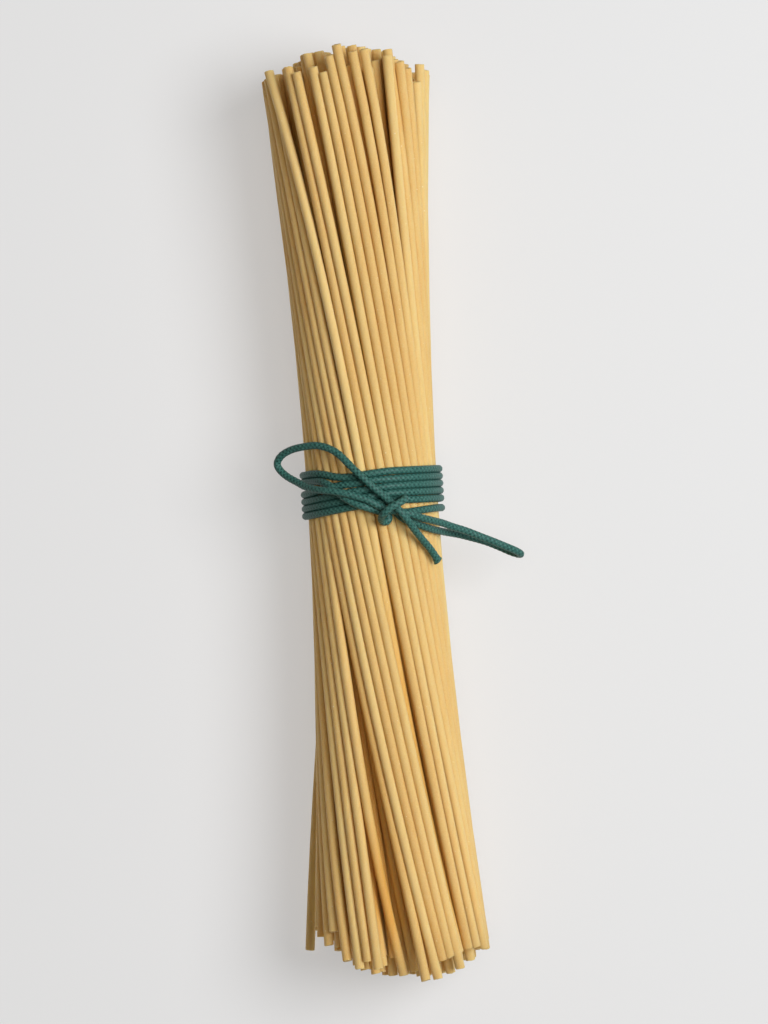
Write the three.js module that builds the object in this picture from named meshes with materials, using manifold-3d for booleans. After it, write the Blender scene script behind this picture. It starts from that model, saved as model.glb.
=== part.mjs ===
// A bundle of dry bucatini tied round its waist with a thin waxed cord, lying on its side.
//
// Millimetres, +Z up. The bundle lies along Y and the cord's bow faces up. The origin is the middle
// of the bundle's footprint on the surface that it lies on.
//
// Every noodle is a nearly straight line through the tied waist. All of them wind slowly round the
// bundle's axis and spread towards the two ends. A settling loop then pushes apart those that would
// run through each other, so that they lie side by side as real ones do. The noodles' places are
// worked out in the waist's own frame: x and z from the bundle's axis, t along it from the waist.

import * as THREE from 'three';
import { mergeVertices } from 'three/addons/utils/BufferGeometryUtils.js';
import Module from 'manifold-3d';

// ---------------------------------------------------------------- driving dimensions

const NOODLE_COUNT = 148; // besides the two loose ones below
const NOODLE_DIAMETER = 2.7;
const NOODLE_CLEARANCE = 0.04; // kept between neighbours as they settle

const WAIST_RADIUS = 18.6; // outside of the noodles, under the cord
const WAIST_Y = 5.6; // the cord sits this far from the middle of the length
const AXIS_X = 1.25; // the stray noodle widens the footprint to the left of the axis
const AXIS_HEIGHT = 22.3; // the bundle's axis, above the surface that it lies on
const SPREAD_RATE = 0.007; // the outside radius is WAIST_RADIUS * hypot(1, SPREAD_RATE * t)
const TWIST_RATE = 0.007; // radians that the noodles wind round the axis, per millimetre
const LEAN = 0.014; // the most that a noodle's own slope strays from its neighbours'

const TOP_END = 126; // the farthest noodle ends, from the waist
const BOTTOM_END = -138;
const TOP_ARCH = 8; // how far the top ends fall back at the bundle's left and right sides
const BOTTOM_ARCH = 11; // the same for the bottom ends, whose arch is off to the right
const BOTTOM_SHIFT = 0.2; // by this share of the bundle's radius
const END_UNEVENNESS = 7; // the most that a noodle falls short of its neighbours, at each end

const STATION_STEP = 14; // between the stations at which the noodles' places are worked out
const FIRST_STATION = -10;
const LAST_STATION = 9;
const PATH_TERMS = 5; // a noodle's path is a polynomial in t with this many terms
const SETTLING_ROUNDS = 200;
const PUSH_SHARE = 0.35; // of an overlap, taken up by each of the two noodles in one round
const OUTER_REACH = 1.6; // noodles this close to the bundle's outside are drawn out to it,
const REACH_GROWTH = 2; // and more of them where the bundle spreads
const OUTER_PULL = 0.1; // share of the way that they are drawn in one round
const SEED = 7;

const CORE_TOP = 106; // the solid core ends here, and the noodles' own ends stand out of it
const CORE_BOTTOM = -112;
const CORE_RECESS = 0.9; // of the core's surface, under the middles of the outer noodles
const CORE_SIDES = 20;
const CORE_SECTIONS = 4;
const OUTER_LAYER = 1.3; // noodles this close to the outermost place at the waist run full length
const OUTER_SIDES = 6;
const OUTER_STEPS = 4;
const STUB_SIDES = 5; // the inner noodles show only as stubs at both ends of the core
const STUB_ROOT = 3; // of a stub, inside the core

const CORD_DIAMETER = 2.05;
const CORD_SIDES = 8;
const CORD_STEP = 2.4 * CORD_DIAMETER;
const GAP = 0.3; // kept between solids that touch
const SAME_PLACE = 1e-4; // corners this close together are one corner

const BAND_LOW = -6.8; // edges of the cord's windings, from the waist
const BAND_HIGH = 7;
const BAND_BEVEL = 0.7;
const BAND_SEGMENTS = 48;

const PASTA_COLOUR = 0xd9b36c;
const CORD_COLOUR = 0x2c6657;

const NOODLE_RADIUS = NOODLE_DIAMETER / 2;
const FLOOR_Z = NOODLE_RADIUS - AXIS_HEIGHT; // the lowest place for a noodle's middle

// Two loose noodles, which the settling loop leaves where they are. One lies across the others at
// the top left, and one strays from the bundle at the bottom left.
const CROSSING_NOODLE = {
  path: [
    { t: -134, x: 16.7, z: 15.2 },
    { t: 0, x: -1.9, z: 17.1 },
    { t: 52, x: -8.8, z: 17.1 },
    { t: 121, x: -21.6, z: 10.7 },
  ],
  bottom: -131,
  top: 120.7,
};
const STRAY_NOODLE = {
  path: [
    { t: 126, x: 3.4, z: FLOOR_Z },
    { t: 0, x: -9.9, z: -12.9 },
    { t: -86, x: -21.5, z: -19.2 },
    { t: -131, x: -26.5, z: FLOOR_Z },
  ],
  bottom: -130.6,
  top: 122,
};

// Places where the top layer opens into a narrow gap, from its closed end to its open end.
const GAPS = [
  { closed: { t: -69, x: -3.6 }, open: { t: -131, x: -1.7 }, halfWidth: 3.3 },
  { closed: { t: 66, x: -3.5 }, open: { t: 118, x: -11.2 }, halfWidth: 1.4 },
  { closed: { t: 73, x: -10.7 }, open: { t: 112, x: -16.7 }, halfWidth: 1.5 },
  { closed: { t: 72, x: 12.5 }, open: { t: 124, x: 9.3 }, halfWidth: 1.4 },
];
const GAP_START = 0.2; // half of a gap's width at its closed end

// The route of the cord's free stretches: x from the bundle's axis, y and z in the part's frame.
const LEFT_LOOP = [
  [2.3, 5.2, 44.2],
  [0.1, 7.2, 44.3],
  [-2.3, 9.8, 44.3],
  [-4.5, 12.1, 43.9],
  [-6.6, 14.5, 43],
  [-8.8, 16.9, 42],
  [-11.3, 18.6, 40.8],
  [-14.7, 19.7, 38.9],
  [-18.7, 19.6, 36.2],
  [-22.4, 18.9, 33.4],
  [-25.3, 17.3, 31.2],
  [-26.4, 15.2, 30.2],
  [-25.5, 13.3, 30.4],
  [-23.5, 11.4, 31.8],
  [-21, 9.8, 34],
  [-18.8, 8.4, 36.6],
  [-16.6, 7.6, 39.4],
  [-14, 7, 41.9],
  [-10.9, 6.5, 43.6],
  [-7.6, 5.7, 44.4],
  [-4.6, 4.7, 44.6],
  [-1.8, 3.6, 44.5],
  [0.3, 2.4, 44.3],
];
const RIGHT_LOOP = [
  [9.4, -0.9, 43.1],
  [11.3, -1.6, 42.4],
  [13.5, -2.5, 40.9],
  [16.3, -3.4, 38.5],
  [19.1, -4.3, 35.8],
  [21.9, -5.5, 33.6],
  [25.8, -7, 31.4],
  [29.7, -8.8, 29.7],
  [33.6, -10.6, 28],
  [36.9, -12.2, 26.4],
  [39.7, -13.6, 24.4],
  [41.1, -14.6, 22.2],
  [40.5, -14.7, 20.2],
  [38.4, -13.9, 19.2],
  [35.1, -12.2, 19.4],
  [31.7, -10.6, 20.8],
  [27.8, -9.2, 22.8],
  [23.7, -7.9, 25.5],
  [20.4, -7.1, 28.4],
  [17.9, -6.4, 31.6],
  [15.4, -5.6, 35.2],
  [13.1, -4.6, 37.6],
  [10.9, -3.4, 39.4],
  [8.7, -2.6, 40.5],
];
const FREE_END = [
  [9.6, -3.1, 44],
  [11.5, -6.1, 41.7],
  [13.4, -8.8, 39.2],
  [15.1, -11.1, 37],
  [16.4, -13.2, 35.4],
  [17.3, -15, 34.2],
];
const KNOT_CENTRE = [5.4, -0.2, 45.5];
const KNOT_SIZE = [7.4, 6.6, 4.2];
const KNOT_SEGMENTS = 12;
const KNOT_RINGS = 8;

// ---------------------------------------------------------------- where the noodles run

const stations = [];
for (let i = FIRST_STATION; i <= LAST_STATION; i++) {
  stations.push(i * STATION_STEP);
}

// The bundle's outside radius at a distance t from the waist.
function bundleRadius(t) {
  return WAIST_RADIUS * Math.hypot(1, SPREAD_RATE * t);
}

// Draws the same numbers between 0 and 1 from the same seed on any machine.
function randomSource(seed) {
  const multiplier = 16807;
  const modulus = 2147483647;
  const warmUp = 20;
  let state = seed;
  const draw = () => {
    state = (state * multiplier) % modulus;
    return state / modulus;
  };
  for (let i = 0; i < warmUp; i++) {
    draw();
  }
  return draw;
}

// The value, at a distance t, of the polynomial through the named points.
function through(points, key, t) {
  let value = 0;
  for (const a of points) {
    let weight = a[key];
    for (const b of points) {
      if (b !== a) {
        weight *= (t - b.t) / (a.t - b.t);
      }
    }
    value += weight;
  }
  return value;
}

// A noodle or gap as the settling loop sees it: its middle and its radius at every station.
function looseNoodle({ path, bottom, top }) {
  return {
    x: stations.map((t) => through(path, 'x', t)),
    z: stations.map((t) => through(path, 'z', t)),
    radius: stations.map(() => NOODLE_RADIUS),
    settles: false,
    bottom,
    top,
  };
}

function gapInTopLayer({ closed, open, halfWidth }) {
  const middle = { t: (closed.t + open.t) / 2, x: (closed.x + open.x) / 2 };
  const path = [closed, middle, open].map(({ t, x }) => {
    return { t, x, z: Math.sqrt((bundleRadius(t) - NOODLE_RADIUS) ** 2 - x * x) };
  });
  const radiusAt = (t) => {
    const along = (t - closed.t) / (open.t - closed.t);
    return along < 0 ? -NOODLE_DIAMETER : GAP_START + (halfWidth - GAP_START) * along;
  };
  return {
    x: stations.map((t) => through(path, 'x', t)),
    z: stations.map((t) => through(path, 'z', t)),
    radius: stations.map(radiusAt),
    settles: false,
  };
}

// The noodles before they settle: spread evenly over the waist and wound round the axis.
function windNoodles() {
  const draw = randomSource(SEED);
  const stray = () => (LEAN * (2 * (draw() + draw() + draw()))) / 3 - LEAN;
  const goldenAngle = Math.PI * (3 - Math.sqrt(5));
  const noodles = [];
  for (let i = 0; i < NOODLE_COUNT; i++) {
    const r = (WAIST_RADIUS - NOODLE_RADIUS) * Math.sqrt((i + 0.5) / NOODLE_COUNT);
    const leanX = stray();
    const leanZ = stray();
    const noodle = { x: [], z: [], radius: [], settles: true };
    for (const t of stations) {
      const angle = i * goldenAngle + TWIST_RATE * t;
      const spread = bundleRadius(t) / WAIST_RADIUS;
      noodle.x.push(spread * r * Math.cos(angle) + leanX * t);
      noodle.z.push(spread * r * Math.sin(angle) + leanZ * t);
      noodle.radius.push(NOODLE_RADIUS);
    }
    noodles.push(noodle);
  }
  return noodles;
}

// Polynomials in t, up to PATH_TERMS terms, each square to the others over the stations.
function pathShapes() {
  const dot = (a, b) => a.reduce((sum, value, m) => sum + value * b[m], 0);
  const reach = Math.max(...stations.map(Math.abs));
  const shapes = [];
  for (let power = 0; power < PATH_TERMS; power++) {
    let shape = stations.map((t) => (t / reach) ** power);
    for (const other of shapes) {
      const share = dot(other, shape);
      shape = shape.map((value, m) => value - share * other[m]);
    }
    const length = Math.sqrt(dot(shape, shape));
    shapes.push(shape.map((value) => value / length));
  }
  return shapes;
}

// Replaces a noodle's places by the smoothest path nearest to them.
function smooth(values, shapes) {
  const shares = shapes.map((shape) => shape.reduce((sum, value, m) => sum + value * values[m], 0));
  return values.map((_, m) => shapes.reduce((sum, shape, k) => sum + shares[k] * shape[m], 0));
}

// Pushes apart whatever overlaps at each station, draws the outer noodles into one even layer, keeps
// every noodle inside the bundle and above the surface that it lies on, and smooths the paths again.
function settle(pieces) {
  const shapes = pathShapes();
  const walls = stations.map((t) => bundleRadius(t) - NOODLE_RADIUS);
  const spreads = stations.map((t) => bundleRadius(t) / WAIST_RADIUS);
  const reaches = spreads.map((spread) => OUTER_REACH * (1 + REACH_GROWTH * (spread - 1)));
  for (let round = 0; round < SETTLING_ROUNDS; round++) {
    const moves = pieces.map(() => ({ x: stations.map(() => 0), z: stations.map(() => 0) }));
    for (let i = 0; i < pieces.length; i++) {
      for (let j = i + 1; j < pieces.length; j++) {
        const a = pieces[i];
        const b = pieces[j];
        const share = a.settles && b.settles ? PUSH_SHARE : 2 * PUSH_SHARE;
        for (let m = 0; m < stations.length; m++) {
          const dx = a.x[m] - b.x[m];
          const dz = a.z[m] - b.z[m];
          const apart = Math.sqrt(dx * dx + dz * dz);
          const overlap = a.radius[m] + b.radius[m] + NOODLE_CLEARANCE - apart;
          if (overlap > 0) {
            const push = (share * overlap) / apart;
            moves[i].x[m] += push * dx;
            moves[i].z[m] += push * dz;
            moves[j].x[m] -= push * dx;
            moves[j].z[m] -= push * dz;
          }
        }
      }
    }
    pieces.forEach((piece, i) => {
      if (!piece.settles) {
        return;
      }
      for (let m = 0; m < stations.length; m++) {
        const x = piece.x[m] + moves[i].x[m];
        const z = piece.z[m] + moves[i].z[m];
        const r = Math.sqrt(x * x + z * z);
        const room = walls[m] - r;
        const pull = room < reaches[m] ? OUTER_PULL * room : 0;
        const change = Math.min(r + pull, walls[m]) / r;
        piece.x[m] = x * change;
        piece.z[m] = Math.max(z * change, FLOOR_Z);
      }
      piece.x = smooth(piece.x, shapes);
      piece.z = smooth(piece.z, shapes);
    });
  }
}

// Cuts the settled noodles to length. Their ends make a low arch, and each end is uneven.
function trimEnds(noodles) {
  const draw = randomSource(SEED + 1);
  for (const noodle of noodles) {
    const last = stations.length - 1;
    const sideways = (m) => noodle.x[m] / bundleRadius(stations[m]);
    const topArch = TOP_ARCH * sideways(last) ** 2;
    const bottomArch = BOTTOM_ARCH * (sideways(0) - BOTTOM_SHIFT) ** 2;
    noodle.top = TOP_END - topArch - END_UNEVENNESS * draw() ** 2;
    noodle.bottom = BOTTOM_END + bottomArch + END_UNEVENNESS * draw() ** 2;
  }
}

function settledNoodles() {
  const loose = [looseNoodle(CROSSING_NOODLE), looseNoodle(STRAY_NOODLE)];
  const gaps = GAPS.map(gapInTopLayer);
  const noodles = windNoodles();
  settle([...loose, ...gaps, ...noodles]);
  trimEnds(noodles);
  return [...loose, ...noodles];
}

// ---------------------------------------------------------------- solids

const wasm = await Module();
wasm.setup();

// A closed three.js geometry as a solid that can be joined.
function toSolid(geometry) {
  const bare = geometry.clone();
  bare.deleteAttribute('normal');
  bare.deleteAttribute('uv');
  const merged = mergeVertices(bare, SAME_PLACE);
  const corners = merged.index.array;
  const triVerts = [];
  for (let i = 0; i < corners.length; i += 3) {
    const [a, b, c] = corners.slice(i, i + 3);
    if (a !== b && b !== c && c !== a) {
      triVerts.push(a, b, c);
    }
  }
  return new wasm.Manifold(
    new wasm.Mesh({
      numProp: 3,
      vertProperties: merged.attributes.position.array,
      triVerts: new Uint32Array(triVerts),
    }),
  );
}

function toGeometry(solid) {
  const { vertProperties, triVerts } = solid.getMesh();
  const geometry = new THREE.BufferGeometry();
  geometry.setAttribute('position', new THREE.BufferAttribute(new Float32Array(vertProperties), 3));
  geometry.setIndex(new THREE.BufferAttribute(new Uint32Array(triVerts), 1));
  geometry.computeVertexNormals();
  return geometry;
}

// A polygon with its corners on a circle.
function polygon(radius, sides) {
  const corners = [];
  for (let k = 0; k < sides; k++) {
    const angle = (2 * Math.PI * k) / sides;
    corners.push(new THREE.Vector2(radius * Math.cos(angle), radius * Math.sin(angle)));
  }
  return new THREE.Shape(corners);
}

// A solid rod along a smooth curve.
function rod(points, radius, sides, steps) {
  const extrudePath = new THREE.CatmullRomCurve3(points);
  return new THREE.ExtrudeGeometry(polygon(radius, sides), {
    steps,
    bevelEnabled: false,
    extrudePath,
  });
}

// The place of a noodle's middle at a distance t, between its stations.
function noodleAt(noodle, t) {
  const along = (t - stations[0]) / STATION_STEP;
  const m = Math.min(Math.max(Math.floor(along), 0), stations.length - 2);
  const part = along - m;
  const x = noodle.x[m] + (noodle.x[m + 1] - noodle.x[m]) * part;
  const z = noodle.z[m] + (noodle.z[m + 1] - noodle.z[m]) * part;
  return new THREE.Vector3(x, t, z);
}

function noodleRod(noodle, from, to, sides, steps) {
  const points = [];
  for (let k = 0; k <= steps; k++) {
    points.push(noodleAt(noodle, from + ((to - from) * k) / steps));
  }
  return toSolid(rod(points, NOODLE_RADIUS, sides, steps));
}

// The core fills the bundle under its outer layer of noodles. It is a turned shape, wound as the
// noodles are, and it keeps off the surface that the bundle lies on.
function bundleCore() {
  const profile = [new THREE.Vector2(0, CORE_BOTTOM)];
  for (let k = 0; k <= CORE_SECTIONS; k++) {
    const t = CORE_BOTTOM + ((CORE_TOP - CORE_BOTTOM) * k) / CORE_SECTIONS;
    profile.push(new THREE.Vector2(bundleRadius(t) - NOODLE_RADIUS - CORE_RECESS, t));
  }
  profile.push(new THREE.Vector2(0, CORE_TOP));
  const geometry = new THREE.LatheGeometry(profile, CORE_SIDES);
  const place = geometry.attributes.position;
  for (let i = 0; i < place.count; i++) {
    const angle = TWIST_RATE * place.getY(i);
    const x = place.getX(i) * Math.cos(angle) - place.getZ(i) * Math.sin(angle);
    const z = place.getX(i) * Math.sin(angle) + place.getZ(i) * Math.cos(angle);
    place.setX(i, x);
    place.setZ(i, Math.max(z, FLOOR_Z + CORE_RECESS));
  }
  return toSolid(geometry);
}

function pastaBundle() {
  let bundle = bundleCore();
  for (const noodle of settledNoodles()) {
    const waist = noodleAt(noodle, 0);
    const depth = WAIST_RADIUS - NOODLE_RADIUS - Math.hypot(waist.x, waist.z);
    if (depth < OUTER_LAYER || !noodle.settles) {
      bundle = bundle.add(noodleRod(noodle, noodle.bottom, noodle.top, OUTER_SIDES, OUTER_STEPS));
    } else {
      bundle = bundle.add(noodleRod(noodle, CORE_TOP - STUB_ROOT, noodle.top, STUB_SIDES, 1));
      bundle = bundle.add(noodleRod(noodle, noodle.bottom, CORE_BOTTOM + STUB_ROOT, STUB_SIDES, 1));
    }
  }
  return toGeometry(bundle);
}

// The windings' outer shape, a ring that clears the noodles under it.
function cordWindings() {
  const inner = WAIST_RADIUS + GAP;
  const outer = WAIST_RADIUS + CORD_DIAMETER;
  const corners = [
    [inner, BAND_LOW],
    [outer - BAND_BEVEL, BAND_LOW],
    [outer, BAND_LOW + BAND_BEVEL],
    [outer, BAND_HIGH - BAND_BEVEL],
    [outer - BAND_BEVEL, BAND_HIGH],
    [inner, BAND_HIGH],
    [inner, BAND_LOW],
  ];
  const profile = corners.map(([r, t]) => new THREE.Vector2(r, t));
  return new THREE.LatheGeometry(profile, BAND_SEGMENTS);
}

function cordTube(route) {
  const points = route.map(([x, y, z]) => new THREE.Vector3(x, y, z));
  const curve = new THREE.CatmullRomCurve3(points);
  const steps = Math.round(curve.getLength() / CORD_STEP);
  return rod(points, CORD_DIAMETER / 2, CORD_SIDES, steps);
}

function cordKnot() {
  const geometry = new THREE.SphereGeometry(0.5, KNOT_SEGMENTS, KNOT_RINGS);
  geometry.scale(...KNOT_SIZE);
  geometry.translate(...KNOT_CENTRE);
  return geometry;
}

// ---------------------------------------------------------------- the part

const pasta = new THREE.MeshStandardMaterial({ color: PASTA_COLOUR, roughness: 0.6, metalness: 0 });
const cord = new THREE.MeshStandardMaterial({ color: CORD_COLOUR, roughness: 0.45, metalness: 0 });

const group = new THREE.Group();

function place(name, geometry, material, position) {
  const mesh = new THREE.Mesh(geometry, material);
  mesh.name = name;
  mesh.position.set(...position);
  group.add(mesh);
}

const waistCentre = [AXIS_X, WAIST_Y, AXIS_HEIGHT];
const underAxis = [AXIS_X, 0, 0];
place('pasta_bundle', pastaBundle(), pasta, waistCentre);
place('cord_windings', cordWindings(), cord, waistCentre);
place('cord_knot', cordKnot(), cord, underAxis);
place('cord_left_loop', cordTube(LEFT_LOOP), cord, underAxis);
place('cord_right_loop', cordTube(RIGHT_LOOP), cord, underAxis);
place('cord_free_end', cordTube(FREE_END), cord, underAxis);

export default group;
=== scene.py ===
"""A bundle of dry bucatini tied round its waist with a thin waxed cord, lying on its side.

Everything is in metres and in the CAD part's own frame: +Z up, the bundle along Y, the bow facing
up. The noodles are settled by the same rules as in the part, so each lies where its solid does.
The noodles' places are given from the middle of the tied waist: x and z from the bundle's axis, t
along it. The cord's route is given as x from the axis, with y and z in the part's frame.
"""

import math

import bpy
import numpy as np
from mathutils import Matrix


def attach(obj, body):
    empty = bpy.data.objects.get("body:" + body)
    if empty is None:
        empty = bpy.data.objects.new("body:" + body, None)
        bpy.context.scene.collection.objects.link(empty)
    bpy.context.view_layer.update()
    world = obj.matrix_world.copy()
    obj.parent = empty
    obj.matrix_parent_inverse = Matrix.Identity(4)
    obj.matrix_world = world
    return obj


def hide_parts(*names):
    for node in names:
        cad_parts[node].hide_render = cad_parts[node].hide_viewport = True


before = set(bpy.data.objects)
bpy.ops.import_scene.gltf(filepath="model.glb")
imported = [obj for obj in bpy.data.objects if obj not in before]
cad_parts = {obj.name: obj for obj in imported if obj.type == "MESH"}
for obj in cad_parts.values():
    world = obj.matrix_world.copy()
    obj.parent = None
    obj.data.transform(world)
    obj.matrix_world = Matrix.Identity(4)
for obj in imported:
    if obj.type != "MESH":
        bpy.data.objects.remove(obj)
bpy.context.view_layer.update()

# ------------------------------------------------------------------ the bundle

NOODLE_COUNT = 148  # besides the two loose ones
NOODLE_DIAMETER = 0.0027
BORE_DIAMETER = 0.00105
NOODLE_CLEARANCE = 0.00004
WAIST_RADIUS = 0.0186
WAIST_Y = 0.0056
AXIS_X = 0.00125
AXIS_HEIGHT = 0.0223
SPREAD_RATE = 7  # how fast the bundle widens away from its waist
TWIST_RATE = 7  # radians for each metre
LEAN = 0.014  # the most that a noodle's slope strays from the winding
TOP_END = 0.126
BOTTOM_END = -0.138
TOP_ARCH = 0.008  # how much shorter the noodles at the sides are than those in the middle
BOTTOM_ARCH = 0.011
BOTTOM_SHIFT = 0.2  # the place of the longest noodle's lower end, as a share of the radius
END_UNEVENNESS = 0.007
STATION_STEP = 0.014
FIRST_STATION = -10
LAST_STATION = 9
PATH_TERMS = 5
SETTLING_ROUNDS = 200
PUSH_SHARE = 0.35
OUTER_REACH = 0.0016  # at the waist, noodles this near the outside are drawn into the outer layer
REACH_GROWTH = 2  # of that reach, as the bundle widens
OUTER_PULL = 0.1  # of the way to the outside in each round
SEED = 7

NOODLE_RADIUS = NOODLE_DIAMETER / 2
BORE_RADIUS = BORE_DIAMETER / 2
FLOOR_Z = NOODLE_RADIUS - AXIS_HEIGHT

# The loose noodles: (t, x, z) along the path, and where the noodle starts and ends.
CROSSING_NOODLE = (
    [
        (-0.134, 0.0167, 0.0152),
        (0, -0.0019, 0.0171),
        (0.052, -0.0088, 0.0171),
        (0.121, -0.0216, 0.0107),
    ],
    (-0.131, 0.1207),
)
STRAY_NOODLE = (
    [
        (0.126, 0.0034, FLOOR_Z),
        (0, -0.0099, -0.0129),
        (-0.086, -0.0215, -0.0192),
        (-0.131, -0.0265, FLOOR_Z),
    ],
    (-0.1306, 0.122),
)
# Gaps in the top layer: (t, x) of the closed end and of the open end, and half the open end's width.
GAPS = [
    ((-0.069, -0.0036), (-0.131, -0.0017), 0.0033),
    ((0.066, -0.0035), (0.118, -0.0112), 0.0014),
    ((0.073, -0.0107), (0.112, -0.0167), 0.0015),
    ((0.072, 0.0125), (0.124, 0.0093), 0.0014),
]
GAP_START = 0.0002

STATIONS = np.arange(FIRST_STATION, LAST_STATION + 1) * STATION_STEP


def bundle_radius(t):
    return WAIST_RADIUS * np.hypot(1, SPREAD_RATE * t)


def random_source(seed):
    """A function that draws the same numbers between 0 and 1 from the same seed on any machine."""
    state = seed

    def draw():
        nonlocal state
        state = state * 16807 % 2147483647
        return state / 2147483647

    for _ in range(20):
        draw()
    return draw


def through(points, t):
    """The value at t of the polynomial through (t, value) points."""
    total = 0
    for a, value in points:
        weight = value
        for b, _ in points:
            if b != a:
                weight = weight * (t - b) / (a - b)
        total = total + weight
    return total


def gap_in_top_layer(closed, opened, half_width):
    """A gap's x, z and radius at every station."""
    middle = ((closed[0] + opened[0]) / 2, (closed[1] + opened[1]) / 2)
    places = [closed, middle, opened]
    heights = [(t, math.sqrt((bundle_radius(t) - NOODLE_RADIUS) ** 2 - x * x)) for t, x in places]
    along = (STATIONS - closed[0]) / (opened[0] - closed[0])
    radius = np.where(along < 0, -NOODLE_DIAMETER, GAP_START + (half_width - GAP_START) * along)
    return through(places, STATIONS), through(heights, STATIONS), radius


def wound_noodles():
    """The x and z at every station of noodles that wind round the axis, before they settle."""
    draw = random_source(SEED)

    def stray():
        return LEAN * (2 * (draw() + draw() + draw())) / 3 - LEAN

    golden_angle = math.pi * (3 - math.sqrt(5))
    spread = bundle_radius(STATIONS) / WAIST_RADIUS
    x, z = [], []
    for i in range(NOODLE_COUNT):
        r = (WAIST_RADIUS - NOODLE_RADIUS) * math.sqrt((i + 0.5) / NOODLE_COUNT)
        lean_x = stray()
        lean_z = stray()
        angle = i * golden_angle + TWIST_RATE * STATIONS
        x.append(spread * r * np.cos(angle) + lean_x * STATIONS)
        z.append(spread * r * np.sin(angle) + lean_z * STATIONS)
    return np.array(x), np.array(z)


def path_shapes():
    """Polynomials in t up to PATH_TERMS terms, each square to the others over the stations."""
    shapes = []
    for power in range(PATH_TERMS):
        shape = (STATIONS / abs(STATIONS).max()) ** power
        for other in shapes:
            shape = shape - (other @ shape) * other
        shapes.append(shape / np.sqrt(shape @ shape))
    return np.array(shapes)


def settle(x, z, radius, settles):
    """Pushes overlaps apart, fills the outer layer, keeps all above the floor and smooths the paths."""
    shapes = path_shapes()
    walls = bundle_radius(STATIONS) - NOODLE_RADIUS
    outer_reach = OUTER_REACH * (1 + REACH_GROWTH * (bundle_radius(STATIONS) / WAIST_RADIUS - 1))
    share = np.where(settles[:, None] & settles[None, :], PUSH_SHARE, 2 * PUSH_SHARE)[:, :, None]
    reach = radius[:, None, :] + radius[None, :, :] + NOODLE_CLEARANCE
    itself = np.eye(len(x), dtype=bool)[:, :, None]
    for _ in range(SETTLING_ROUNDS):
        dx = x[:, None, :] - x[None, :, :]
        dz = z[:, None, :] - z[None, :, :]
        apart = np.where(itself, 1, np.sqrt(dx * dx + dz * dz))
        push = share * np.where(itself, 0, np.maximum(reach - apart, 0)) / apart
        new_x = x + (push * dx).sum(1)
        new_z = z + (push * dz).sum(1)
        distance = np.sqrt(new_x**2 + new_z**2)
        room = walls - distance
        pull = np.where(room < outer_reach, OUTER_PULL * room, 0)
        change = np.minimum(distance + pull, walls) / distance
        new_x = new_x * change
        new_z = np.maximum(new_z * change, FLOOR_Z)
        x[settles] = (new_x @ shapes.T @ shapes)[settles]
        z[settles] = (new_z @ shapes.T @ shapes)[settles]


def settled_noodles():
    """For every noodle: its x and z at the stations, and the t of its two ends."""
    x, z = wound_noodles()
    loose = [CROSSING_NOODLE, STRAY_NOODLE]
    loose_x = [through([(t, px) for t, px, _ in path], STATIONS) for path, _ in loose]
    loose_z = [through([(t, pz) for t, _, pz in path], STATIONS) for path, _ in loose]
    gaps = [gap_in_top_layer(*gap) for gap in GAPS]
    all_x = np.vstack([*loose_x, *[gap[0] for gap in gaps], x])
    all_z = np.vstack([*loose_z, *[gap[1] for gap in gaps], z])
    radius = np.full(all_x.shape, NOODLE_RADIUS)
    first_gap = len(loose)
    first_settling = first_gap + len(gaps)
    radius[first_gap:first_settling] = [gap[2] for gap in gaps]
    settle(all_x, all_z, radius, np.arange(len(all_x)) >= first_settling)
    draw = random_source(SEED + 1)
    ends = [span for _, span in loose]
    for noodle_x in all_x[first_settling:]:
        at_top = noodle_x[-1] / bundle_radius(STATIONS[-1])
        at_bottom = noodle_x[0] / bundle_radius(STATIONS[0])
        top = TOP_END - TOP_ARCH * at_top**2 - END_UNEVENNESS * draw() ** 2
        bottom = BOTTOM_END + BOTTOM_ARCH * (at_bottom - BOTTOM_SHIFT) ** 2 + END_UNEVENNESS * draw() ** 2
        ends.append((bottom, top))
    is_noodle = [i for i in range(len(all_x)) if not first_gap <= i < first_settling]
    return all_x[is_noodle], all_z[is_noodle], np.array(ends)


# ------------------------------------------------------------------ the cord's route

CORD_DIAMETER = 0.00205
CORD_RADIUS = CORD_DIAMETER / 2
CORD_SINK = 0.0003  # the tight turns press this far in between the noodles
ON_NOODLES = WAIST_RADIUS + CORD_RADIUS - CORD_SINK  # the cord's middle, from the bundle's axis

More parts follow.
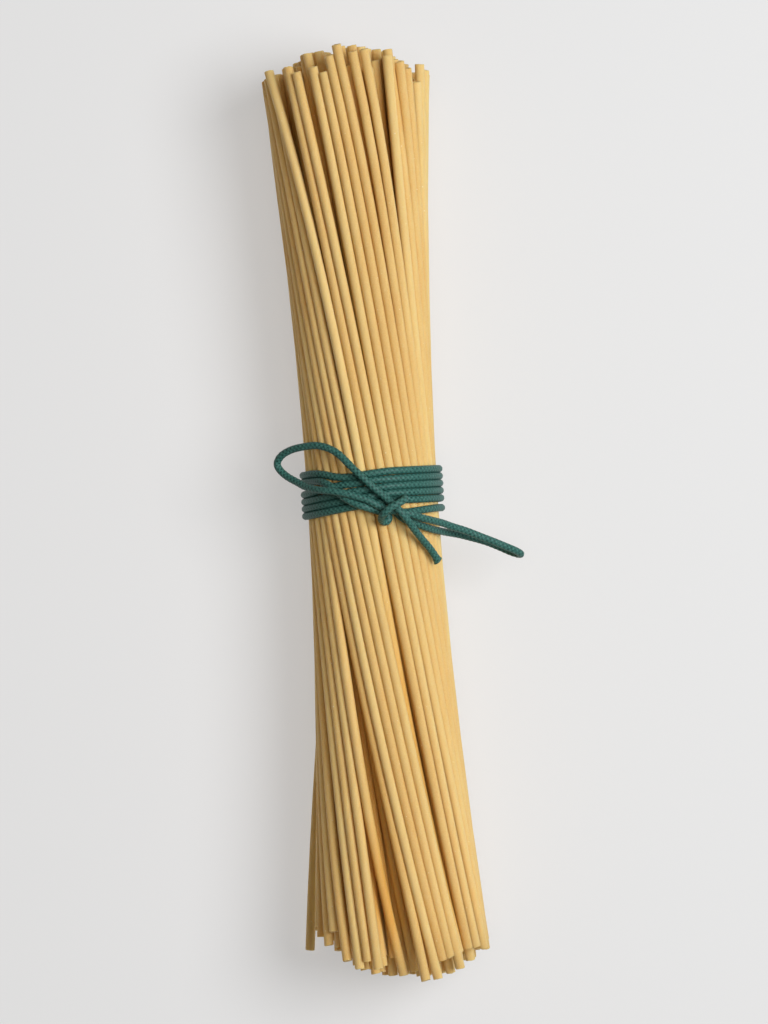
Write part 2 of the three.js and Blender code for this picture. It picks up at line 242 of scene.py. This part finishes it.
# From the cut end that shows, through the knot, round both loops of the bow, and back over the knot.
FREE_END = [
    (0.0173, -0.015, 0.0342),
    (0.0164, -0.0132, 0.0354),
    (0.0151, -0.0111, 0.037),
    (0.0134, -0.0088, 0.0392),
    (0.0115, -0.0061, 0.0417),
    (0.0096, -0.0031, 0.044),
]
FIRST_PASS = [
    (0.0079, -0.0007, 0.045),
    (0.0064, 0.0011, 0.0449),
    (0.0044, 0.0031, 0.0443),
]
LEFT_LOOP = [
    (0.0023, 0.0052, 0.0442),
    (0.0001, 0.0072, 0.0443),
    (-0.0023, 0.0098, 0.0443),
    (-0.0045, 0.0121, 0.0439),
    (-0.0066, 0.0145, 0.043),
    (-0.0088, 0.0169, 0.042),
    (-0.0113, 0.0186, 0.0408),
    (-0.0147, 0.0197, 0.0389),
    (-0.0187, 0.0196, 0.0362),
    (-0.0224, 0.0189, 0.0334),
    (-0.0253, 0.0173, 0.0312),
    (-0.0264, 0.0152, 0.0302),
    (-0.0255, 0.0133, 0.0304),
    (-0.0235, 0.0114, 0.0318),
    (-0.021, 0.0098, 0.034),
    (-0.0188, 0.0084, 0.0366),
    (-0.0166, 0.0076, 0.0394),
    (-0.014, 0.007, 0.0419),
    (-0.0109, 0.0065, 0.0436),
    (-0.0076, 0.0057, 0.0444),
    (-0.0046, 0.0047, 0.0446),
    (-0.0018, 0.0036, 0.0445),
    (0.0003, 0.0024, 0.0443),
]
SECOND_PASS = [
    (0.0022, 0.0012, 0.0436),
    (0.0047, 0.0001, 0.0431),
    (0.0072, -0.0004, 0.0429),
]
RIGHT_LOOP = [
    (0.0094, -0.0009, 0.0431),
    (0.0113, -0.0016, 0.0424),
    (0.0135, -0.0025, 0.0409),
    (0.0163, -0.0034, 0.0385),
    (0.0191, -0.0043, 0.0358),
    (0.0219, -0.0055, 0.0336),
    (0.0258, -0.007, 0.0314),
    (0.0297, -0.0088, 0.0297),
    (0.0336, -0.0106, 0.028),
    (0.0369, -0.0122, 0.0264),
    (0.0397, -0.0136, 0.0244),
    (0.0411, -0.0146, 0.0222),
    (0.0405, -0.0147, 0.0202),
    (0.0384, -0.0139, 0.0192),
    (0.0351, -0.0122, 0.0194),
    (0.0317, -0.0106, 0.0208),
    (0.0278, -0.0092, 0.0228),
    (0.0237, -0.0079, 0.0255),
    (0.0204, -0.0071, 0.0284),
    (0.0179, -0.0064, 0.0316),
    (0.0154, -0.0056, 0.0352),
    (0.0131, -0.0046, 0.0376),
    (0.0109, -0.0034, 0.0394),
    (0.0087, -0.0026, 0.0405),
]
KNOT_BAND = [
    (0.0071, -0.0013, 0.041),
    (0.0061, 0.0002, 0.0409),
    (0.0063, 0.0018, 0.0412),
    (0.0073, 0.003, 0.0422),
    (0.0086, 0.0036, 0.0438),
    (0.009, 0.0032, 0.0457),
    (0.0075, 0.0022, 0.0473),
    (0.0057, 0.0014, 0.0477),
    (0.0041, 0.0004, 0.0476),
    (0.0028, -0.0007, 0.0468),
    (0.0022, -0.0015, 0.0453),
    (0.0021, -0.0023, 0.0436),
    (0.0027, -0.003, 0.0424),
    (0.0038, -0.0029, 0.0419),
    (0.0043, -0.002, 0.0418),
    (0.0041, -0.001, 0.0418),
    (0.0032, -0.0004, 0.0418),
    (0.0021, 0, 0.042),
]
# From the knot to the left, over the lower turns and down between the upper two.
CROSSING_STRAND = [
    (0.0009, 0.0004, 0.0425),
    (-0.0007, 0.001, 0.0431),
    (-0.0026, 0.0017, 0.0438),
    (-0.0048, 0.0026, 0.0436),
    (-0.0069, 0.0039, 0.0432),
    (-0.0088, 0.0054, 0.0426),
    (-0.0104, 0.007, 0.0416),
    (-0.012, 0.0084, 0.0401),
    (-0.014, 0.0094, 0.0376),
]
# Where the turns pass the bundle's left and right sides, one after the other: y at each.
SIDE_PASSES = [0.0098, 0.0111, 0.0114, 0.00904, 0.006, 0.00706, 0.00412, 0.00494, 0.0021, 0.00277, 0.00005, 0]
HALF_TURN_POINTS = 12
DIP_DEPTH = 0.0015  # of the top turn, where the left loop's upper strand presses it down
DIP_PLACE = 0.6
DIP_WIDTH = 0.105
RISE_HEIGHT = 0.0005  # of the same turn, farther to the left
RISE_PLACE = 0.8
RISE_WIDTH = 0.08
BACK_CROSSING = 0.78  # the first two turns cross behind the bundle, this far along their half turns
BACK_CROSSING_WIDTH = 0.09
# Where along a half turn the cord starts to move over to the next turn, and on what share of it.
BACK_MOVE = (0.6, 0.35)
SECOND_FRONT_MOVE = (0.5, 0.45)
FRONT_MOVE = (0.35, 0.6)
# The last strand runs under the knot: x and y of its points.
LAST_STRAND = [
    (0.0177, 0.00002),
    (0.0155, -0.00014),
    (0.0126, -0.00036),
    (0.0103, -0.00058),
    (0.0087, -0.0006),
]


def smooth_step(share):
    share = min(max(share, 0), 1)
    return share * share * (3 - 2 * share)


def bump(share, middle, width):
    return math.exp(-(((share - middle) / width) ** 2))


def moved_over(share, move):
    start, length = move
    return smooth_step((share - start) / length)


def place_on_turn(half, share):
    """How far the cord has come from one side's y to the next, how far it dips, and how high it is."""
    if half == 0:
        return moved_over(share, BACK_MOVE), 0, 0
    if half == 1:
        dip = DIP_DEPTH * bump(share, DIP_PLACE, DIP_WIDTH)
        rise = RISE_HEIGHT * bump(share, RISE_PLACE, RISE_WIDTH)
        return share, dip - rise, 0
    if half == 2:
        over = CORD_DIAMETER * bump(share, BACK_CROSSING, BACK_CROSSING_WIDTH)
        return moved_over(share, BACK_MOVE), 0, over
    if half == 3:
        return moved_over(share, SECOND_FRONT_MOVE), 0, 0
    if half % 2:
        return moved_over(share, FRONT_MOVE), 0, 0
    return share, 0, 0


def windings():
    """The turns round the waist, from the left side where the crossing strand arrives."""
    points = []
    for half, (start, end) in enumerate(zip(SIDE_PASSES, SIDE_PASSES[1:])):
        for k in range(HALF_TURN_POINTS):
            share = k / HALF_TURN_POINTS
            # Odd half turns pass over the side that shows, from right to left, and even ones behind it.
            angle = math.pi * share if half % 2 else math.pi * (1 + share)
            gone, dip, lift = place_on_turn(half, share)
            radius = ON_NOODLES + lift
            y = start + (end - start) * gone - dip
            points.append((radius * math.cos(angle), y, AXIS_HEIGHT + radius * math.sin(angle)))
    points.append((ON_NOODLES, SIDE_PASSES[-1], AXIS_HEIGHT))
    return points


def cord_route():
    last_strand = [(x, y, AXIS_HEIGHT + math.sqrt(ON_NOODLES**2 - x * x)) for x, y in LAST_STRAND]
    return np.array(
        [
            *FREE_END,
            *FIRST_PASS,
            *LEFT_LOOP,
            *SECOND_PASS,
            *RIGHT_LOOP,
            *KNOT_BAND,
            *CROSSING_STRAND,
            *windings(),
            *last_strand,
        ]
    )


CURVE_PARTS = 24  # short straight parts between two points, before the curve is divided evenly


def even_curve(points, step):
    """Points an even step apart on the centripetal Catmull-Rom curve through the given ones."""
    spans = np.diff(points, axis=0)
    gaps = np.linalg.norm(spans, axis=1)[:, None] ** 0.5
    slopes = spans / gaps
    inner = (slopes[:-1] * gaps[1:] + slopes[1:] * gaps[:-1]) / (gaps[:-1] + gaps[1:])
    tangents = np.vstack([slopes[:1], inner, slopes[-1:]])
    u = np.linspace(0, 1, CURVE_PARTS, endpoint=False)[None, :, None]
    a, b = points[:-1, None], points[1:, None]
    ta, tb = tangents[:-1, None] * gaps[:, None], tangents[1:, None] * gaps[:, None]
    dense = (
        a * (2 * u**3 - 3 * u**2 + 1)
        + ta * (u**3 - 2 * u**2 + u)
        + b * (3 * u**2 - 2 * u**3)
        + tb * (u**3 - u**2)
    ).reshape(-1, 3)
    dense = np.vstack([dense, points[-1:]])
    lengths = np.concatenate([[0], np.cumsum(np.linalg.norm(np.diff(dense, axis=0), axis=1))])
    count = round(lengths[-1] / step) + 1
    at = np.linspace(0, lengths[-1], count)
    return np.column_stack([np.interp(at, lengths, dense[:, k]) for k in range(3)])


def softened(points, reach):
    """The same points, each moved to the weighted mean of its neighbours within reach."""
    weights = np.hanning(2 * reach + 3)[1:-1]
    weights /= weights.sum()
    before = 2 * points[0] - points[reach:0:-1]
    after = 2 * points[-1] - points[-2 : -reach - 2 : -1]
    padded = np.vstack([before, points, after])
    return np.column_stack([np.convolve(padded[:, k], weights, "valid") for k in range(3)])


SETTLING_STEP = 0.0007
CORD_STEP = 0.000175
CORD_ROUNDS = 120
CORD_PUSH = 0.3  # of an overlap, taken up by each of the two stretches in one round
CORD_HOLD = 0.02  # of its shift, that a stretch goes back in each round
SAME_STRETCH = 6  # points, within which the cord doesn't push itself


def settled_cord():
    """The cord's middle line, with touching stretches side by side and none inside the noodles."""
    wanted = softened(even_curve(cord_route(), SETTLING_STEP), 1)
    place = wanted
    apart = np.linalg.norm(wanted[:, None] - wanted[None], axis=2)
    index = np.arange(len(wanted))
    along = index[None] - index[:, None]
    one, other = np.nonzero((apart < 2 * CORD_DIAMETER) & (along > SAME_STRETCH))
    for _ in range(CORD_ROUNDS):
        between = place[one] - place[other]
        distance = np.linalg.norm(between, axis=1)[:, None]
        push = CORD_PUSH * np.maximum(CORD_DIAMETER - distance, 0) / distance * between
        shift = place - wanted
        np.add.at(shift, one, push)
        np.add.at(shift, other, -push)
        place = wanted + softened((1 - CORD_HOLD) * shift, 2)
        from_axis = place - np.array([0, 0, AXIS_HEIGHT])
        reach = np.hypot(from_axis[:, 0], from_axis[:, 2])
        wall = bundle_radius(place[:, 1] - WAIST_Y) + CORD_RADIUS - CORD_SINK
        out = np.maximum(1, wall / reach)
        place = place + from_axis * ((out - 1) * (reach > 0))[:, None] * (1, 0, 1)
    return even_curve(place, CORD_STEP) + (AXIS_X, 0, 0)


# ------------------------------------------------------------------ meshes

CORD_SIDES = 16
BRAID_STRANDS = 4  # crests round the cord, which shift by half a turn of one along it
BRAID_PITCH = 0.0014
BRAID_RELIEF = 0.00004
END_FLARE = 0.3  # the cut end spreads
END_FLARE_LENGTH = 0.0018
END_SLANT = 0.35  # and is cut aslant
END_SLANT_TURN = 0.6
END_SLANT_LENGTH = 0.002


def new_object(name, vertices, faces, material):
    mesh = bpy.data.meshes.new(name)
    mesh.from_pydata([tuple(v) for v in vertices], [], faces)
    mesh.materials.append(material)
    mesh.polygons.foreach_set("use_smooth", [True] * len(mesh.polygons))
    obj = bpy.data.objects.new(name, mesh)
    bpy.context.scene.collection.objects.link(obj)
    return obj


def set_values(obj, name, values):
    """Gives each of the object's points a value that its material reads by this name."""
    obj.data.attributes.new(name, "FLOAT", "POINT").data.foreach_set("value", values)


def frames_along(path):
    """Two directions square to the path at each point, which turn as little as they can."""
    tangents = np.gradient(path, axis=0)
    tangents /= np.linalg.norm(tangents, axis=1)[:, None]
    side = np.cross(tangents[0], (0, 0, 1))
    sides = []
    for tangent in tangents:
        side = side - (side @ tangent) * tangent
        side = side / np.linalg.norm(side)
        sides.append(side)
    sides = np.array(sides)
    return sides, np.cross(tangents, sides), tangents


def make_cord(material):
    """The braided cord, with a UV map for its yarns, and the points of its middle line."""
    path = settled_cord()
    sides, ups, tangents = frames_along(path)
    count = len(path)
    angles = 2 * np.pi * np.arange(CORD_SIDES) / CORD_SIDES
    from_end = np.arange(count) * CORD_STEP
    # Crossed strands stand up in a chequer pattern.
    relief = np.cos(BRAID_STRANDS * angles) * np.cos(2 * np.pi * from_end / BRAID_PITCH)[:, None]
    flare = 1 + END_FLARE * np.clip(1 - from_end / END_FLARE_LENGTH, 0, 1) ** 1.5
    radius = (CORD_RADIUS + BRAID_RELIEF * (relief + 0.5)) * flare[:, None]
    across = sides[:, None] * np.cos(angles)[:, None] + ups[:, None] * np.sin(angles)[:, None]
    vertices = path[:, None] + across * radius[:, :, None]
    near_end = np.clip(1 - from_end / END_SLANT_LENGTH, 0, 1)[:, None]
    slant = END_SLANT * CORD_RADIUS * np.cos(angles + END_SLANT_TURN) * near_end
    vertices = (vertices + slant[:, :, None] * tangents[:, None]).reshape(-1, 3)
    ring = np.arange(count - 1)[:, None] * CORD_SIDES
    k = np.arange(CORD_SIDES)
    beside = (k + 1) % CORD_SIDES
    quads = [ring + k, ring + beside, ring + beside + CORD_SIDES, ring + k + CORD_SIDES]
    faces = np.stack(quads, 2).reshape(-1, 4)
    first_face = k[::-1].tolist()
    last_face = (ring[-1] + CORD_SIDES + k).tolist()
    obj = new_object("tie_cord", vertices, [*faces.tolist(), first_face, last_face], material)
    # Painted light and shade: the relief's crests are coloured paler and its hollows darker.
    set_values(obj, "crest_light_and_shade", (relief.ravel() + 1) / 2)
    along = np.arange(count - 1)[:, None] * CORD_STEP / CORD_DIAMETER
    next_along = along + CORD_STEP / CORD_DIAMETER
    u, next_u = k / CORD_SIDES, (k + 1) / CORD_SIDES
    corners = [(u, along), (next_u, along), (next_u, next_along), (u, next_along)]
    uv = np.stack([np.stack(np.broadcast_arrays(*corner), 2) for corner in corners], 2).reshape(-1, 2)
    values = np.zeros((len(obj.data.loops), 2))
    values[: len(uv)] = uv
    obj.data.uv_layers.new(name="braid").data.foreach_set("uv", values.ravel())
    return obj, path


NOODLE_SIDES = 14
NOODLE_RINGS = 18
BORE_RINGS = 6
EDGE_ROUNDING = 0.00013
BORE_ROUNDING = 0.00005
BORE_AND_RIM = 1.5  # bore radii, within which a ring belongs to the bore and keeps an even edge
END_TILT = 0.07  # slope of a broken end
END_RAGGEDNESS = 0.00004
LOOSE_TONE = 0.75  # 0 is the darkest noodle and 1 the palest
MOST_TONE = 0.6  # of the noodles that aren't loose
# Painted shade and through-light: the deeper a noodle's surface lies in the bundle, the more golden and
# darker its colour is made, for light that comes through the noodles turns golden.
PALE_DEPTH = 0.0005
GOLDEN_DEPTH = 0.0022
TIP_LENGTH = 0.012


def noodle_rows(low, high):
    """The t and radius of a noodle's rings: the lower end, the outside, the upper end and the bore."""
    outer = np.linspace(low + EDGE_ROUNDING, high - EDGE_ROUNDING, NOODLE_RINGS)
    bore = np.linspace(high, low, BORE_RINGS)
    return (
        [(low, BORE_RADIUS + BORE_ROUNDING), (low, NOODLE_RADIUS - EDGE_ROUNDING)]
        + [(t, NOODLE_RADIUS) for t in outer]
        + [(high, NOODLE_RADIUS - EDGE_ROUNDING), (high, BORE_RADIUS + BORE_ROUNDING)]
        + [(t, BORE_RADIUS) for t in bore[1:-1]]
    )


def faces_between(base, row, next_row):
    """The faces between two rings of the noodle whose first point is base."""
    faces = []
    for k in range(NOODLE_SIDES):
        beside = (k + 1) % NOODLE_SIDES
        a = base + row * NOODLE_SIDES + k
        b = base + row * NOODLE_SIDES + beside
        c = base + next_row * NOODLE_SIDES + beside
        d = base + next_row * NOODLE_SIDES + k
        faces.append((a, d, c, b))
    return faces


def make_noodles(material):
    """All the noodles as one mesh, each a tube from end to end with its own tone."""
    x, z, ends = settled_noodles()
    loose_count = len(x) - NOODLE_COUNT
    rng = np.random.default_rng(SEED)
    angles = 2 * np.pi * np.arange(NOODLE_SIDES) / NOODLE_SIDES
    vertices, faces, tones, golden_shade_values, flat_faces = [], [], [], [], []
    for i in range(len(x)):
        shape_x = np.polynomial.Polynomial.fit(STATIONS, x[i], PATH_TERMS - 1)
        shape_z = np.polynomial.Polynomial.fit(STATIONS, z[i], PATH_TERMS - 1)
        low, high = ends[i]
        rows = noodle_rows(low, high)
        tilt = rng.normal(0, END_TILT, (2, 2))
        ragged = rng.normal(0, END_RAGGEDNESS, (2, NOODLE_SIDES))
        base = len(vertices)
        for t, radius in rows:
            slope_x = shape_x.deriv()(t)
            slope_z = shape_z.deriv()(t)
            tangent = np.array([slope_x, 1, slope_z])
            tangent /= np.linalg.norm(tangent)
            side = np.cross(tangent, (0, 0, 1))
            side /= np.linalg.norm(side)
            up = np.cross(side, tangent)
            centre = np.array([shape_x(t) + AXIS_X, t + WAIST_Y, shape_z(t) + AXIS_HEIGHT])
            u = radius * np.cos(angles)
            v = radius * np.sin(angles)
            ring = centre + u[:, None] * side + v[:, None] * up
            end = 1 if t > (low + high) / 2 else 0
            if min(t - low, high - t) < 2 * EDGE_ROUNDING:
                uneven = ragged[end] * (radius > BORE_RADIUS * BORE_AND_RIM)
                shift = tilt[end, 0] * u + tilt[end, 1] * v + uneven
                ring = ring + shift[:, None] * tangent
            vertices.extend(ring)
            # How deep in the bundle each point lies, faded near the tips, for the painted golden shade.
            inside = bundle_radius(t) - np.hypot(ring[:, 0] - AXIS_X, ring[:, 2] - AXIS_HEIGHT)
            from_tip = np.clip(min(t - low, high - t) / TIP_LENGTH, 0, 1)
            golden_shade_values.extend(from_tip * np.clip((inside - PALE_DEPTH) / GOLDEN_DEPTH, 0, 1))
        count = len(rows)
        for row in range(count):
            # The two broken ends are flat.
            if row in (0, NOODLE_RINGS + 2):
                flat_faces.extend(range(len(faces), len(faces) + NOODLE_SIDES))
            faces.extend(faces_between(base, row, (row + 1) % count))
        tone = LOOSE_TONE if i < loose_count else MOST_TONE * rng.random()
        tones.extend([tone] * (count * NOODLE_SIDES))
    obj = new_object("noodles", vertices, faces, material)
    set_values(obj, "tone", tones)
    set_values(obj, "golden_shade", golden_shade_values)
    for i in flat_faces:
        obj.data.polygons[i].use_smooth = False
    return obj


# ------------------------------------------------------------------ materials


class Nodes:
    """A material's node tree, with short ways to add and link its nodes."""

    def __init__(self, name):
        self.material = bpy.data.materials.new(name)
        self.material.use_nodes = True
        self.tree = self.material.node_tree
        self.shader = self.tree.nodes["Principled BSDF"]

    def add(self, kind, **settings):
        node = self.tree.nodes.new(kind)
        for key, value in settings.items():
            setattr(node, key, value)
        return node

    def link(self, source, socket):
        if hasattr(source, "links"):
            self.tree.links.new(source, socket)
        else:
            socket.default_value = source

    def math(self, operation, a, b=0.0):
        node = self.add("ShaderNodeMath", operation=operation)
        self.link(a, node.inputs[0])
        self.link(b, node.inputs[1])
        return node.outputs[0]

    def noise(self, position, scale, detail=2.0, roughness=0.5):
        node = self.add("ShaderNodeTexNoise")
        self.link(position, node.inputs["Vector"])
        node.inputs["Scale"].default_value = scale
        node.inputs["Detail"].default_value = detail
        node.inputs["Roughness"].default_value = roughness
        return node.outputs["Fac"]

    def stretch(self, position, scale):
        node = self.add("ShaderNodeMapping")
        self.link(position, node.inputs["Vector"])
        node.inputs["Scale"].default_value = scale
        return node.outputs["Vector"]

    def between(self, value, low, high, new_low, new_high):
        node = self.add("ShaderNodeMapRange")
        self.link(value, node.inputs["Value"])
        for name, number in zip(("From Min", "From Max", "To Min", "To Max"), (low, high, new_low, new_high)):
            node.inputs[name].default_value = number
        return node.outputs["Result"]

    def mix(self, factor, a, b, blend="MIX"):
        node = self.add("ShaderNodeMix", data_type="RGBA", blend_type=blend)
        self.link(factor, node.inputs["Factor"])
        self.link(a, node.inputs[6])
        self.link(b, node.inputs[7])
        return node.outputs[2]

    def bump(self, height, strength, distance, normal=None):
        node = self.add("ShaderNodeBump")
        self.link(height, node.inputs["Height"])
        node.inputs["Strength"].default_value = strength
        node.inputs["Distance"].default_value = distance
        if normal:
            self.link(normal, node.inputs["Normal"])
        return node.outputs["Normal"]


def pasta_material():
    """Each noodle has its own tone, fine streaks along it, a floury grain and a few pale specks, and painted
    golden shade deep in the bundle.
    """
    n = Nodes("dry_pasta")
    position = n.add("ShaderNodeTexCoord").outputs["Object"]
    tone = n.add("ShaderNodeAttribute", attribute_name="tone").outputs["Fac"]
    golden_shade = n.add("ShaderNodeAttribute", attribute_name="golden_shade").outputs["Fac"]
    streak = n.noise(n.stretch(position, (1, 0.05, 1)), 900, 3)
    patch = n.noise(n.stretch(position, (1, 0.3, 1)), 140, 2)
    grain = n.noise(position, 3200, 3, 0.7)
    speck = n.noise(position, 1300, 1)
    colour = n.mix(tone, (0.725, 0.448, 0.145, 1), (0.86, 0.642, 0.28, 1))
    darker = n.mix(1.0, colour, (0.94, 0.88, 0.78, 1), "MULTIPLY")
    colour = n.mix(n.between(streak, 0.35, 0.65, 0, 0.6), colour, darker)
    colour = n.mix(n.between(patch, 0.4, 0.7, 0, 0.35), colour, (0.8, 0.59, 0.245, 1))
    colour = n.mix(n.between(grain, 0.35, 0.7, 0, 0.35), colour, (0.84, 0.67, 0.36, 1))
    colour = n.mix(n.between(speck, 0.77, 0.8, 0, 0.5), colour, (0.95, 0.86, 0.65, 1))
    # Painted shade: deep in the bundle the colour is multiplied darker and more golden.
    colour = n.mix(golden_shade, colour, n.mix(1.0, colour, (0.93, 0.75, 0.45, 1), "MULTIPLY"))
    n.link(colour, n.shader.inputs["Base Color"])
    n.link(n.between(grain, 0.3, 0.7, 0.5, 0.75), n.shader.inputs["Roughness"])
    n.link(n.bump(grain, 0.3, 0.00005), n.shader.inputs["Normal"])
    n.shader.inputs["Subsurface Weight"].default_value = 0.8
    n.shader.inputs["Subsurface Radius"].default_value = (1.0, 0.9, 0.75)
    n.shader.inputs["Subsurface Scale"].default_value = 0.0015
    n.shader.inputs["Specular IOR Level"].default_value = 0.15
    return n.material


YARNS_AROUND = 24.0
YARN_SLANT = 5.0


def cord_material():
    """Painted highlights on the braid's crests and painted shade in its hollows, with fine yarns and waxed
    fibres on them, whose pale spots are also painted glints.
    """
    n = Nodes("waxed_cord")
    crest_light_and_shade = n.add("ShaderNodeAttribute", attribute_name="crest_light_and_shade").outputs["Fac"]
    uv = n.add("ShaderNodeUVMap", uv_map="braid").outputs["UV"]
    position = n.add("ShaderNodeTexCoord").outputs["Object"]
    split = n.add("ShaderNodeSeparateXYZ")
    n.link(uv, split.inputs[0])
    around = n.math("MULTIPLY", split.outputs[0], YARNS_AROUND)
    along = n.math("MULTIPLY", split.outputs[1], YARN_SLANT)
    yarn = n.math("ABSOLUTE", n.math("SINE", n.math("MULTIPLY", n.math("ADD", around, along), math.pi)))
    fibre_and_glint = n.noise(position, 3000, 3, 0.65)
    cloudy = n.noise(position, 300, 2)
    # Painted highlights on the crests and painted shade in the hollows.
    colour = n.mix(n.between(crest_light_and_shade, 0.15, 0.9, 0, 1), (0.003, 0.034, 0.028, 1), (0.06, 0.2, 0.168, 1))
    colour = n.mix(n.between(cloudy, 0.35, 0.7, 0, 0.4), colour, (0.03, 0.12, 0.1, 1))
    # Pale fibre spots: partly the waxed fibres' own colour, partly painted glints.
    colour = n.mix(n.between(fibre_and_glint, 0.52, 0.7, 0, 0.6), colour, (0.15, 0.34, 0.3, 1))
    n.link(colour, n.shader.inputs["Base Color"])
    n.link(n.between(fibre_and_glint, 0.3, 0.7, 0.35, 0.6), n.shader.inputs["Roughness"])
    relief = n.bump(yarn, 0.25, 0.00004)
    n.link(n.bump(fibre_and_glint, 0.35, 0.00005, relief), n.shader.inputs["Normal"])
    n.shader.inputs["Specular IOR Level"].default_value = 0.22
    return n.material


def floor_material():
    n = Nodes("studio_floor")
    n.shader.inputs["Base Color"].default_value = (0.38, 0.38, 0.38, 1)
    n.shader.inputs["Roughness"].default_value = 1
    n.shader.inputs["Specular IOR Level"].default_value = 0
    # A light table, so that shadows stay faint.
    n.shader.inputs["Emission Color"].default_value = (1, 1, 1, 1)
    n.shader.inputs["Emission Strength"].default_value = 0.43
    return n.material


# ------------------------------------------------------------------ the scene

PHOTO_WIDTH, PHOTO_HEIGHT = 768, 1024
PIXELS_PER_METRE = 3530
CAMERA_AIM = (0.00422, -0.00019, 0.03)
CAMERA_DISTANCE = 1.5
CAMERA_ROLL = math.radians(-3.69)
SENSOR = 36
FLOOR_HALF = 3
FLOOR_DROP = 0.00012  # just under the lowest noodle


def make_camera():
    data = bpy.data.cameras.new("camera")
    data.sensor_fit = "VERTICAL"
    data.sensor_height = SENSOR
    data.lens = SENSOR * CAMERA_DISTANCE / (PHOTO_HEIGHT / PIXELS_PER_METRE)
    camera = bpy.data.objects.new("camera", data)
    camera.location = (CAMERA_AIM[0], CAMERA_AIM[1], CAMERA_AIM[2] + CAMERA_DISTANCE)
    camera.rotation_euler = (0, 0, CAMERA_ROLL)
    bpy.context.scene.collection.objects.link(camera)
    bpy.context.scene.camera = camera


def make_light(name, location, size, power, colour):
    data = bpy.data.lights.new(name, "AREA")
    data.shape = "DISK"
    data.size = size
    data.energy = power
    data.color = colour
    light = bpy.data.objects.new(name, data)
    light.location = location
    direction = np.array(CAMERA_AIM) - np.array(location)
    horizontal = math.hypot(direction[0], direction[1])
    light.rotation_euler = (math.atan2(horizontal, -direction[2]), 0, math.atan2(-direction[0], direction[1]))
    bpy.context.scene.collection.objects.link(light)


def make_studio():
    scene = bpy.context.scene
    scene.view_settings.view_transform = "Standard"
    world = bpy.data.worlds.new("studio")
    world.use_nodes = True
    world.node_tree.nodes["Background"].inputs["Color"].default_value = (1, 1, 1, 1)
    world.node_tree.nodes["Background"].inputs["Strength"].default_value = 0.02
    scene.world = world
    make_light("key", (0.62, 0.12, 1), 0.7, 12.5, (0.975, 0.985, 1))
    make_light("top", (0.1, 0.05, 1.9), 1, 7.5, (1, 0.97, 0.92))
    make_light("bounce", (-0.9, -0.1, 0.35), 0.6, 0.4, (1, 0.4, 0.08))
    signs = ((-1, -1), (1, -1), (1, 1), (-1, 1))
    corners = [(x * FLOOR_HALF, y * FLOOR_HALF, -FLOOR_DROP) for x, y in signs]
    floor = new_object("floor", corners, [(0, 1, 2, 3)], floor_material())


make_camera()
cord, cord_path = make_cord(cord_material())
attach(cord, "root")
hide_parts("cord_windings", "cord_knot", "cord_left_loop", "cord_right_loop", "cord_free_end")

noodles = make_noodles(pasta_material())
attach(noodles, "root")
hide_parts("pasta_bundle")
make_studio()
